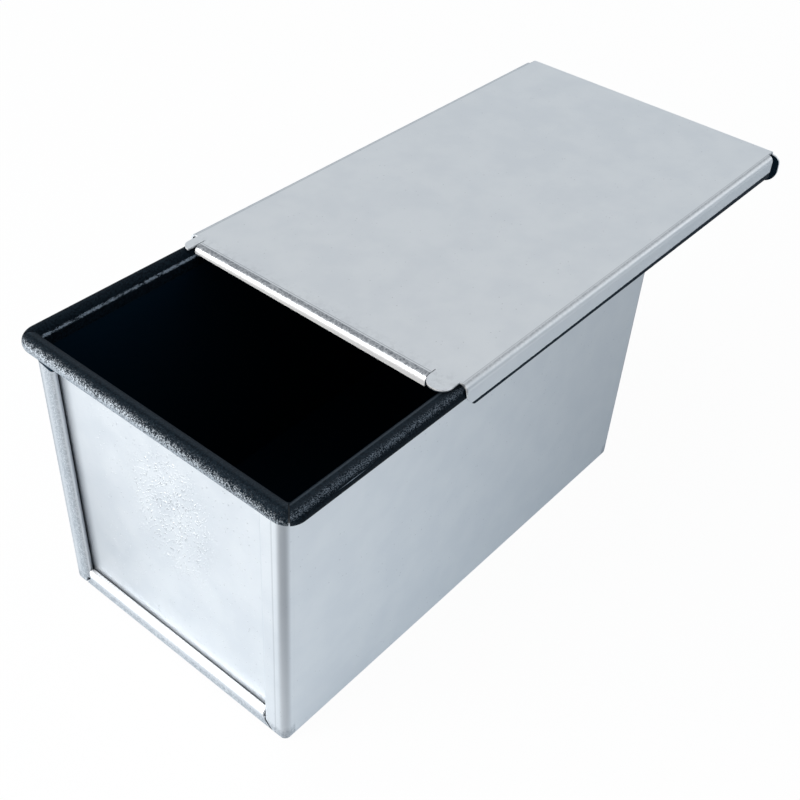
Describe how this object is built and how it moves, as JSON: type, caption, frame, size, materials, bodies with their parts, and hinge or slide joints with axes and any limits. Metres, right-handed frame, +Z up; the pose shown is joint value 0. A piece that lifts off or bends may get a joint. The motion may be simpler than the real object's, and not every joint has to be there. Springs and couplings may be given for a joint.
{
  "type": "pullman loaf pan",
  "caption": "Deep straight-sided loaf pan with wired rolled rims and folded end seams, and a flat lid that slides on hooks under the long rims, shown partly drawn off.",
  "frame": {"origin": "centre of the flat underside of the pan", "axes": "+X along the loaf, towards the end where the lid is drawn off; +Y across the pan; +Z up"},
  "size_m": [0.2802, 0.123, 0.1116],
  "materials": {
    "aluminised_steel": "matte aluminised steel sheet, sprayed with a black non-stick coating inside and over the rims",
    "steel_wire": "drawn steel wire"
  },
  "bodies": {
    "pan": {"trough": "aluminised_steel", "near_end_panel": "aluminised_steel", "far_end_panel": "aluminised_steel", "rim_wire": "steel_wire"},
    "lid": {"lid": "aluminised_steel"}
  },
  "joints": [
    {"name": "lid_slide", "type": "slide", "parent": "pan", "child": "lid", "axis": [1, 0, 0], "range_m": [-0.0631, 0.1206]}
  ]
}
